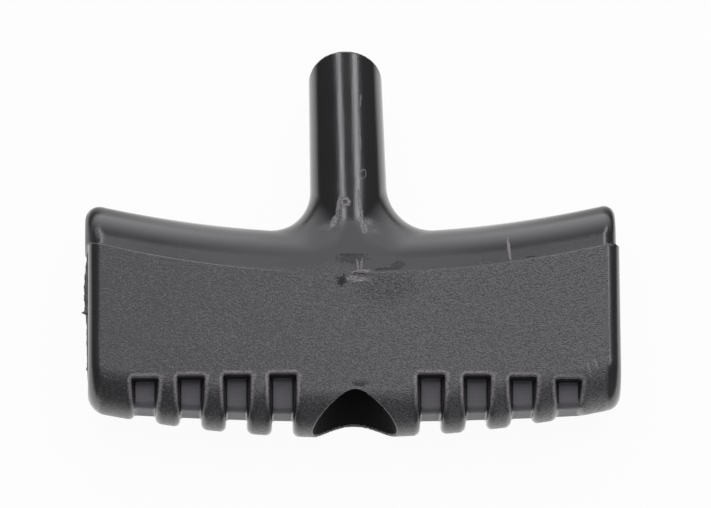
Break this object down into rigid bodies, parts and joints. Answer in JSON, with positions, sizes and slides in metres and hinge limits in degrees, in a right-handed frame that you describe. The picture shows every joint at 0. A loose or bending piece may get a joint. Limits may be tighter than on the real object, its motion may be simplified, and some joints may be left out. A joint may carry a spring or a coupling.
{
  "type": "starter handle",
  "caption": "T-shaped pull handle for a starter cord, moulded in one piece with a ribbed lower edge, a hollow knot pocket and a round neck that the cord runs through.",
  "frame": {"origin": "on the back face that the handle lies on, at the middle of its width and of its length from the ribs to the neck's rim", "axes": "+X along the grip to the right, +Y from the ribs out along the neck, +Z out of the front face, which is the face with the arch"},
  "size_m": [0.1, 0.0733, 0.0142],
  "materials": {
    "black_rubber": "black moulded rubber, satin at the neck and lightly grained on the faces"
  },
  "bodies": {
    "root": {"starter_handle": "black_rubber"}
  },
  "joints": []
}
